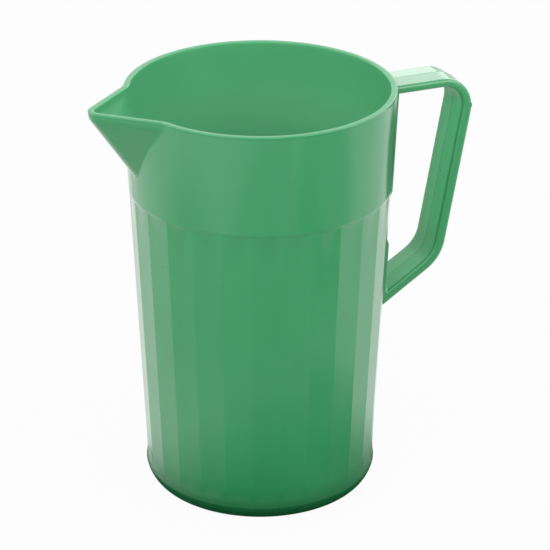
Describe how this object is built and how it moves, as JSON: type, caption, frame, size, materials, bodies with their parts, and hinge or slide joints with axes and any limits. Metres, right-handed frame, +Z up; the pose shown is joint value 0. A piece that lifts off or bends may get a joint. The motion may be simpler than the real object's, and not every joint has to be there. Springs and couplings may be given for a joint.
{
  "type": "plastic jug",
  "caption": "Open plastic jug with a faceted, tapered body under a plain band, a pointed pouring lip and a strap handle on its wall.",
  "frame": {"origin": "centre of the base's underside, on the body's axis", "axes": "+Z up along the body's axis, the pouring lip points along -X and the handle along +X"},
  "size_m": [0.1664, 0.1114, 0.175],
  "materials": {
    "green_plastic": "smooth moulded gloss, opaque mid green"
  },
  "bodies": {
    "root": {"jug_body": "green_plastic", "handle": "green_plastic"}
  },
  "joints": []
}
